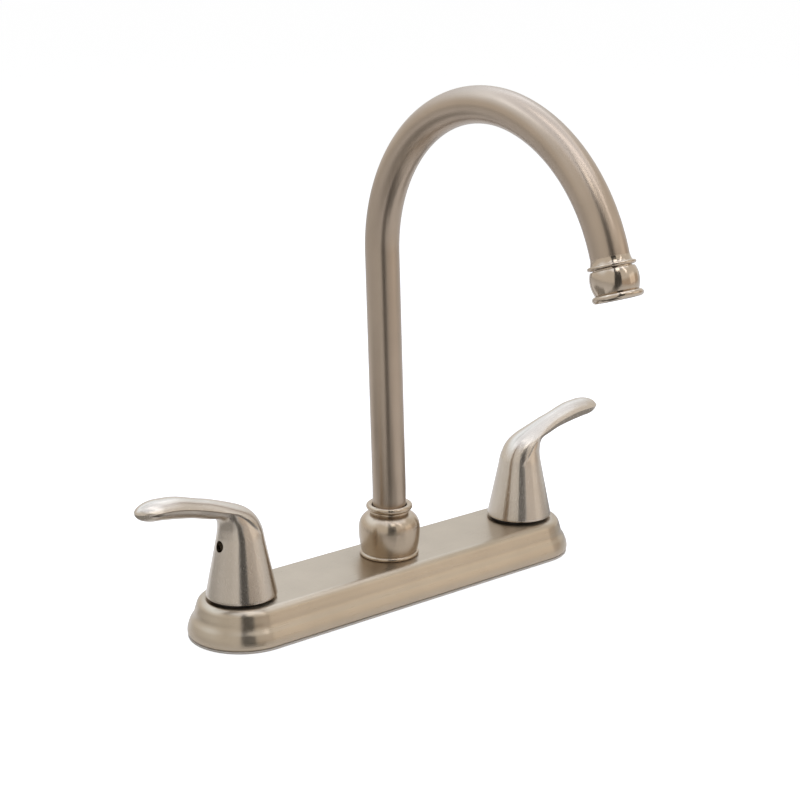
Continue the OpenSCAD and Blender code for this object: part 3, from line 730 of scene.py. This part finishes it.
# Black oxide on a steel grub screw: dark, lightly oiled, with a soft sheen.
black_steel = metal("black_oxide_steel", "#5d564d", 0.25, (2, 2, 2))
for node, name, side, turn in (("left", "hot", -1, math.pi), ("right", "cold", 1, 0)):
    where = Matrix.Translation((side * HALF_CENTRES, 0, 0)) @ Matrix.Rotation(turn, 4, "Z")
    across = where @ Matrix.Translation((0, 0, SCREW_Z)) @ Matrix.Rotation(math.pi / 2, 4, "Y")
    cavity = solid("cavity", *turned([
        (0, RIM_Z - 1), (17.1, RIM_Z - 1), (13.26, CAVITY_TOP), (0, CAVITY_TOP),
    ]), place=where)
    stem_bore = solid("stem_bore", *turned(rod(STEM_BORE_R, 30, 58.1)), place=where)
    screw_hole = solid("screw_hole", *turned(rod(SCREW_HOLE_R, 0, 20), 64), place=across)
    lever = carve(solid(name + "_lever", *lever_form(), place=where),
                  [cavity, stem_bore, screw_hole])
    dress(lever, lever_nickel, name + "_handle", node + "_handle")
    screw = solid(name + "_grub_screw", *turned(SCREW, 64), place=across)
    carve(screw, [solid("socket", *turned(rod(HEX_R, 7.1, 11), 6), place=across)])
    dress(screw, black_steel, name + "_handle", node + "_set_screw")

# Inlet shanks
# Each valve body is one brass casting, and its shank goes down through the sink deck. A
# half-inch pipe thread is cut on it above and below a groove, for the lock nut and the hose.

THREAD_PITCH = 1.814
THREAD_CREST = 10.45
THREAD_ROOT = 9.3
TOOTH_SUNK = 0.1
TOOTH_FOOT_SHARE = 0.94
TOOTH_CREST_SHARE = 0.2
SHANK_END = -47.95
THREADS = ((-49, -23.3), (-20.4, -0.6))

thread_tree = bpy.data.node_groups.new("pipe_thread", "GeometryNodeTree")
sockets = thread_tree.interface
sockets.new_socket("Geometry", in_out="INPUT", socket_type="NodeSocketGeometry")
thread_inputs = {
    name: sockets.new_socket(name, in_out="INPUT", socket_type="NodeSocketFloat")
    for name in ("Middle Radius", "Tooth Height", "Tooth Foot", "Length", "Turns")
}
thread_inputs["Metal"] = sockets.new_socket(
    "Metal", in_out="INPUT", socket_type="NodeSocketMaterial")
sockets.new_socket("Geometry", in_out="OUTPUT", socket_type="NodeSocketGeometry")
given = add(thread_tree, "NodeGroupInput").outputs
coil = add(thread_tree, "GeometryNodeCurveSpiral", {
    "Resolution": 40, "Rotations": given["Turns"], "Start Radius": given["Middle Radius"],
    "End Radius": given["Middle Radius"], "Height": given["Length"],
})
upright = add(thread_tree, "GeometryNodeSetCurveNormal", {"Curve": coil.outputs[0]}, mode="Z_UP")
crest = add(thread_tree, "ShaderNodeMath", {
    0: given["Tooth Foot"], 1: TOOTH_CREST_SHARE,
}, operation="MULTIPLY")
tooth = add(thread_tree, "GeometryNodeCurvePrimitiveQuadrilateral", {
    "Height": given["Tooth Height"], "Bottom Width": given["Tooth Foot"],
    "Top Width": crest.outputs[0], "Offset": 0,
}, mode="TRAPEZOID")
facing_out = add(thread_tree, "GeometryNodeTransform", {
    "Geometry": tooth.outputs[0], "Rotation": (0, 0, math.pi / 2),
})
ridge = add(thread_tree, "GeometryNodeCurveToMesh", {
    "Curve": upright.outputs[0], "Profile Curve": facing_out.outputs[0], "Fill Caps": True,
})
real = add(thread_tree, "GeometryNodeRealizeInstances", {"Geometry": ridge.outputs[0]})
coated = add(thread_tree, "GeometryNodeSetMaterial", {
    "Geometry": real.outputs["Geometry"], "Material": given["Metal"],
})
add(thread_tree, "NodeGroupOutput", {"Geometry": coated.outputs["Geometry"]})


def thread(x, low, high, material):
    """The ridge of a thread round a shank at x, as a plain mesh."""
    length = high - low - THREAD_PITCH
    thing = bpy.data.objects.new("ridge", bpy.data.meshes.new("ridge"))
    bpy.context.scene.collection.objects.link(thing)
    cut = thing.modifiers.new("thread", "NODES")
    cut.node_group = thread_tree
    for name, value in {
        "Middle Radius": (THREAD_CREST + THREAD_ROOT - TOOTH_SUNK) / 2 * MM,
        "Tooth Height": (THREAD_CREST - THREAD_ROOT + TOOTH_SUNK) * MM,
        "Tooth Foot": TOOTH_FOOT_SHARE * THREAD_PITCH * MM,
        "Length": length * MM, "Turns": length / THREAD_PITCH, "Metal": material,
    }.items():
        cut[thread_inputs[name].identifier] = value
    plain = plain_mesh(thing)
    bpy.data.objects.remove(thing)
    plain.transform(Matrix.Translation((x * MM, 0, (low + THREAD_PITCH / 2) * MM)))
    return plain


def ring(inner_r, outer_r, low, high):
    """The profile of a pipe, which turns a cylinder down from outside."""
    return [(inner_r, low), (outer_r, low), (outer_r, high), (inner_r, high)]


# Raw brass from a sand mould: dull yellow, with a grain of about 1 mm.
cast_brass = metal("cast_brass", "#b8935a", 0.42, (1.2, 1.2, 1.2), depth=0.04)
for side, name in ((-1, "left"), (1, "right")):
    shape = bmesh.new()
    shape.from_mesh(frame["nodes"][name + "_valve_body"].data)
    bmesh.ops.remove_doubles(shape, verts=shape.verts, dist=WELD)
    mesh = bpy.data.meshes.new(name + "_casting")
    shape.to_mesh(mesh)
    shape.free()
    casting = bpy.data.objects.new(name + "_casting", mesh)
    bpy.context.scene.collection.objects.link(casting)
    where = Matrix.Translation((side * HALF_CENTRES, 0, 0))
    carve(casting, [solid("turning", *turned(ring(THREAD_ROOT, 12, low, high)), place=where)
                    for low, high in THREADS])
    shape = bmesh.new()
    shape.from_mesh(casting.data)
    for low, high in THREADS:
        shape.from_mesh(thread(side * HALF_CENTRES, max(low, SHANK_END), high, cast_brass))
    shape.to_mesh(casting.data)
    shape.free()
    casting.data.set_sharp_from_angle(angle=math.radians(CRISP_DEG))
    dress(casting, cast_brass, "deck_assembly", name + "_valve_body")

# Everything that stays as it was machined
# The brass, copper, plastic, ceramic and rubber pieces inside keep their exact shapes
# and get their materials here.

GLOSS_SPREAD = 0.06


def moulded(name, colour, roughness):
    """A moulded or lapped surface with a faint unevenness in its gloss."""
    material = bpy.data.materials.new(name)
    material.use_nodes = True
    tree = material.node_tree
    tree.nodes.clear()
    place = add(tree, "ShaderNodeTexCoord").outputs["Object"]
    mould = add(tree, "ShaderNodeTexNoise", {"Vector": place, "Scale": 400, "Detail": 3})
    gloss = add(tree, "ShaderNodeMapRange", {
        "Value": mould.outputs["Fac"],
        "To Min": roughness - GLOSS_SPREAD, "To Max": roughness + GLOSS_SPREAD,
    })
    shader = add(tree, "ShaderNodeBsdfPrincipled", {
        "Base Color": linear(colour), "Roughness": gloss.outputs["Result"],
    })
    add(tree, "ShaderNodeOutputMaterial", {"Surface": shader.outputs["BSDF"]})
    return material


inner = {
    "cast_brass": cast_brass,
    # Bare brass off the lathe: bright yellow, with fine tool rings round its axis.
    "turned_brass": metal("turned_brass", "#c9a45f", 0.25, (20, 20, 0.3)),
    # Copper tube drawn through a die: reddish, with faint lines along it.
    "copper": metal("drawn_copper", "#b9735a", 0.3, (20, 0.5, 0.5)),
    # Acetal from a polished mould: a soft, waxy sheen, in black or its own milky white.
    "black_plastic": moulded("moulded_black_acetal", "#141312", 0.45),
    "white_acetal": moulded("natural_acetal", "#dcd8cb", 0.4),
    # Alumina lapped flat for the valve discs: ivory and nearly a mirror.
    "ceramic": moulded("lapped_alumina", "#efece4", 0.15),
    # Moulded nitrile: dull black.
    "seal_rubber": rubber("black_seal_rubber", "#181817", 0.55),
    # Pressed steel with bright zinc on it: grey, its gloss a little cloudy.
    "zinc_steel": metal("zinc_plated_steel", "#b3b3b0", 0.35, (3, 3, 3)),
    "black_steel": black_steel,
    # Woven stainless wire. The weave is finer than a pixel and is drawn as a grain of 1 mm.
    "stainless_mesh": metal("stainless_mesh", "#a9a9a8", 0.3, (1, 1, 1)),
}
for part in frame["record"]["subparts"]:
    node = frame["nodes"][part["node"]]
    if node.hide_render:
        continue
    node.data.materials.clear()
    node.data.materials.append(inner[part["material_slot"]])

# Studio
# A white floor under a white sky, as in a product photo. Soft lamps hang overhead, in front
# and at the right, and a strip above the spout draws the highlight along its arch.

FLOOR_Z = -0.0002
FLOOR_HALF = 9
FILL = 0.3
WHITE = (1, 1, 1, 1)
WARM_SKY = (0.95, 0.94, 0.92, 1)
COOL_SKY = (1.55, 1.78, 2.1, 1)
TOP_SKY = (0.35, 0.38, 0.42, 1)


def glowing(name, albedo, seen_lift, mirrored_lift, colour=WHITE, one_sided=False):
    """A matt surface, lifted towards white where the camera or a shiny surface sees it.

    A one-sided surface is clear from behind.
    """
    material = bpy.data.materials.new(name)
    material.use_nodes = True
    tree = material.node_tree
    tree.nodes.clear()
    rays = add(tree, "ShaderNodeLightPath").outputs
    glossy = add(tree, "ShaderNodeMath", {
        0: rays["Is Glossy Ray"], 1: rays["Is Transmission Ray"],
    }, operation="MAXIMUM")
    mirrored = add(tree, "ShaderNodeMath", {
        0: glossy.outputs[0], 1: mirrored_lift,
    }, operation="MULTIPLY")
    lift = add(tree, "ShaderNodeMath", {
        0: rays["Is Camera Ray"], 1: seen_lift, 2: mirrored.outputs[0],
    }, operation="MULTIPLY_ADD")
    matt = add(tree, "ShaderNodeBsdfDiffuse", {"Color": (albedo, albedo, albedo, 1)})
    glow = add(tree, "ShaderNodeEmission", {"Color": colour, "Strength": lift.outputs[0]})
    both = add(tree, "ShaderNodeAddShader", {0: matt.outputs[0], 1: glow.outputs[0]})
    if one_sided:
        below = add(tree, "ShaderNodeNewGeometry").outputs["Backfacing"]
        clear = add(tree, "ShaderNodeBsdfTransparent")
        both = add(tree, "ShaderNodeMixShader", {
            0: below, 1: both.outputs[0], 2: clear.outputs[0],
        })
    add(tree, "ShaderNodeOutputMaterial", {"Surface": both.outputs[0]})
    return material


def panel(name, corners, material, hidden=False):
    """A flat stage panel through four corners. A hidden one shows in reflections alone."""
    mesh = bpy.data.meshes.new(name)
    mesh.from_pydata(corners, [], [(0, 1, 2, 3)])
    mesh.materials.append(material)
    thing = bpy.data.objects.new(name, mesh)
    bpy.context.scene.collection.objects.link(thing)
    if hidden:
        thing.visible_camera = thing.visible_diffuse = thing.visible_shadow = False
    return thing


# The floor lies a hair under the gasket and is clear from below, where the nuts and the
# shanks hang, so that both sides show cleanly.
panel("floor", [(x * FLOOR_HALF, y * FLOOR_HALF, FLOOR_Z)
                for x, y in ((-1, -1), (1, -1), (1, 1), (-1, 1))],
      glowing("studio_floor", 0.75, 0.77, 0.4, one_sided=True))

# Shiny surfaces mirror a sky that is warm low down, cool and bright high up at the back and
# darker right overhead. The camera sees plain white, and matt surfaces get a weak fill.
world = bpy.data.worlds.new("studio")
bpy.context.scene.world = world
world.use_nodes = True
tree = world.node_tree
tree.nodes.clear()
rays = add(tree, "ShaderNodeLightPath").outputs
mirrored = add(tree, "ShaderNodeMath", {
    0: rays["Is Glossy Ray"], 1: rays["Is Transmission Ray"],
}, operation="MAXIMUM")
around = add(tree, "ShaderNodeTexCoord").outputs["Generated"]
way = add(tree, "ShaderNodeSeparateXYZ", {"Vector": around})
height = add(tree, "ShaderNodeMapRange", {
    "Value": way.outputs["Z"], "From Min": 0.22, "From Max": 0.75,
}, interpolation_type="SMOOTHSTEP")
behind = add(tree, "ShaderNodeMapRange", {
    "Value": way.outputs["Y"], "From Min": -0.1, "From Max": 0.6,
}, interpolation_type="SMOOTHSTEP")
cool = add(tree, "ShaderNodeMath", {
    0: height.outputs["Result"], 1: behind.outputs["Result"],
}, operation="MULTIPLY")
dome = add(tree, "ShaderNodeMix", {
    FACTOR: cool.outputs[0], COLOUR_A: WARM_SKY, COLOUR_B: COOL_SKY,
}, data_type="RGBA")
above = add(tree, "ShaderNodeMapRange", {
    "Value": way.outputs["Z"], "From Min": 0.74, "From Max": 0.88,
}, interpolation_type="SMOOTHSTEP")
dome = add(tree, "ShaderNodeMix", {
    FACTOR: above.outputs["Result"], COLOUR_A: dome.outputs[COLOUR_OUT], COLOUR_B: TOP_SKY,
}, data_type="RGBA")
shown = add(tree, "ShaderNodeMix", {
    FACTOR: mirrored.outputs[0], COLOUR_A: WHITE, COLOUR_B: dome.outputs[COLOUR_OUT],
}, data_type="RGBA")
power = add(tree, "ShaderNodeMath", {
    0: mirrored.outputs[0], 1: rays["Is Camera Ray"],
}, operation="MAXIMUM")
power = add(tree, "ShaderNodeMapRange", {"Value": power.outputs[0], "To Min": FILL, "To Max": 1.0})
sky = add(tree, "ShaderNodeBackground", {
    "Color": shown.outputs[COLOUR_OUT], "Strength": power.outputs["Result"],
})
add(tree, "ShaderNodeOutputWorld", {"Surface": sky.outputs["Background"]})


def softbox(name, spot, aim, width, height, radiance, colour):
    """A soft lamp whose face has a plain brightness, where 1 is white."""
    lamp = bpy.data.lights.new(name, "AREA")
    lamp.shape = "RECTANGLE"
    lamp.size, lamp.size_y = width, height
    lamp.color = linear(colour)[:3]
    lamp.energy = radiance * math.pi * width * height
    thing = bpy.data.objects.new(name, lamp)
    thing.location = spot
    thing.rotation_euler = (Vector(aim) - Vector(spot)).to_track_quat("-Z", "Y").to_euler()
    thing.visible_camera = False
    bpy.context.scene.collection.objects.link(thing)


softbox("top_softbox", (0.05, 0.0, 1.35), (0.05, 0, 0), 1.9, 1.6, 1.35, "#e0ebff")
softbox("front_lamp", (-0.25, -0.7, 1.15), (0, 0, 0.1), 0.28, 0.26, 2.6, "#ffffff")
softbox("strip_lamp", (0.14, -0.5, 1.25), (0, -0.12, 0.26), 0.16, 1.6, 2.2, "#f4f6ff")
softbox("right_softbox", (0.95, -1.15, 0.42), (0, 0, 0.02), 0.8, 0.6, 0.6, "#fffaf4")

# Camera
# It stands at the photograph's view: left of the middle and a little above, looking down.
# The picture's tones are plain ones, so that white stays white.

AZIMUTH = math.radians(-40)
ELEVATION = math.radians(15.19)
LENS_MM = 76.02
SENSOR_MM = 36
CAMERA_SPOT = (-0.57516, -0.69487, 0.35561)
camera = bpy.data.objects.new("camera", bpy.data.cameras.new("camera"))
camera.data.sensor_width = SENSOR_MM
camera.data.lens = LENS_MM
camera.location = CAMERA_SPOT
back = Vector((math.sin(AZIMUTH) * math.cos(ELEVATION), -math.cos(AZIMUTH) * math.cos(ELEVATION),
               math.sin(ELEVATION)))
camera.rotation_euler = (-back).to_track_quat("-Z", "Y").to_euler()
bpy.context.scene.collection.objects.link(camera)
bpy.context.scene.camera = camera
bpy.context.scene.view_settings.view_transform = "Standard"

# Reflection cards
# Dark and grey cards stand and lie round the photograph's view. They show in reflections alone,
# and draw the dark stripes down the upright pieces and along the plate. The grey ones lying close
# round the foot are painted shade: they darken the floor that the undersides mirror, in place of
# the faucet's own shadow there.

CARD_ALBEDO = 0.03
NEAR, MIDDLE, FAR, WALL = 0.36, 0.65, 2.2, 2.4
FAR_TOP, WALL_TOP = 2.4, 0.6

# Heights of the lying cards. Where two overlap they differ, so that neither hides the other
# at random.
UNDER_Z, LOW_Z, CLOSE_Z, LAMP_Z = 0.0015, 0.002, 0.0025, 1.32


def fan(*corners):
    """Points about the hub, each from a turn, a distance and a height.

    The turn is in degrees to the right of the camera's direction.
    """
    points = []
    for turn, distance, height in corners:
        a = AZIMUTH + math.radians(turn)
        points.append((distance * math.sin(a), -distance * math.cos(a), height))
    return points


card_dark = glowing("card_dark", CARD_ALBEDO, 0, 0.08)
card_grey = glowing("card_grey", CARD_ALBEDO, 0, 0.36)
panel("far_card", fan((-4, FAR, 0), (27, FAR, 0), (27, FAR, FAR_TOP), (-4, FAR, FAR_TOP)),
      card_dark, hidden=True)
# Painted shade: grey cards on the floor beside and in front of the foot, seen only in reflections,
# stand for the faucet's shadow there.
for name, x0, x1, y0, y1 in (
    ("front", -0.12, -0.03, -0.165, -0.09),
    ("left", -0.45, -0.15, -0.12, 0.3),
    ("right", 0.165, 0.3, -0.12, 0.1),
):
    corners = [(x, y, UNDER_Z) for x, y in ((x0, y0), (x1, y0), (x1, y1), (x0, y1))]
    panel("floor_shade_card_" + name, corners, card_grey, hidden=True)
for name, corners in (
    ("left", [(-0.3, -0.28), (-0.02, -0.33), (-0.108, -0.036), (-0.128, -0.036)]),
    ("right", [(-0.17, -0.25), (-0.03, -0.34), (0.055, -0.12), (0.022, -0.12)]),
):
    panel("near_card_" + name, [(x, y, CLOSE_Z) for x, y in corners], card_dark, hidden=True)
panel("low_card", fan(
    (-5, NEAR, LOW_Z), (16, NEAR, LOW_Z), (16, MIDDLE, LOW_Z), (-5, MIDDLE, LOW_Z),
), card_grey, hidden=True)
panel("low_far_card", fan(
    (-5, MIDDLE, LOW_Z), (16, MIDDLE, LOW_Z), (24, FAR, LOW_Z), (-5, FAR, LOW_Z),
), card_dark, hidden=True)

# The gap between the lamps above the camera draws the thin dark line along the arch. No
# light comes from a gap, so this card casts a shadow too.
lamp_gap = panel("lamp_gap", fan(
    (-6, 0.35, LAMP_Z), (4, 0.35, LAMP_Z), (3, 1.3, LAMP_Z), (-5, 1.3, LAMP_Z),
), card_dark, hidden=True)
lamp_gap.visible_shadow = True
card_warm = glowing("card_warm", CARD_ALBEDO, 0, 0.66, linear("#ffeedd"))
panel("right_wall", fan(
    (27, WALL, 0), (120, WALL, 0), (120, WALL, WALL_TOP), (27, WALL, WALL_TOP),
), card_warm, hidden=True)
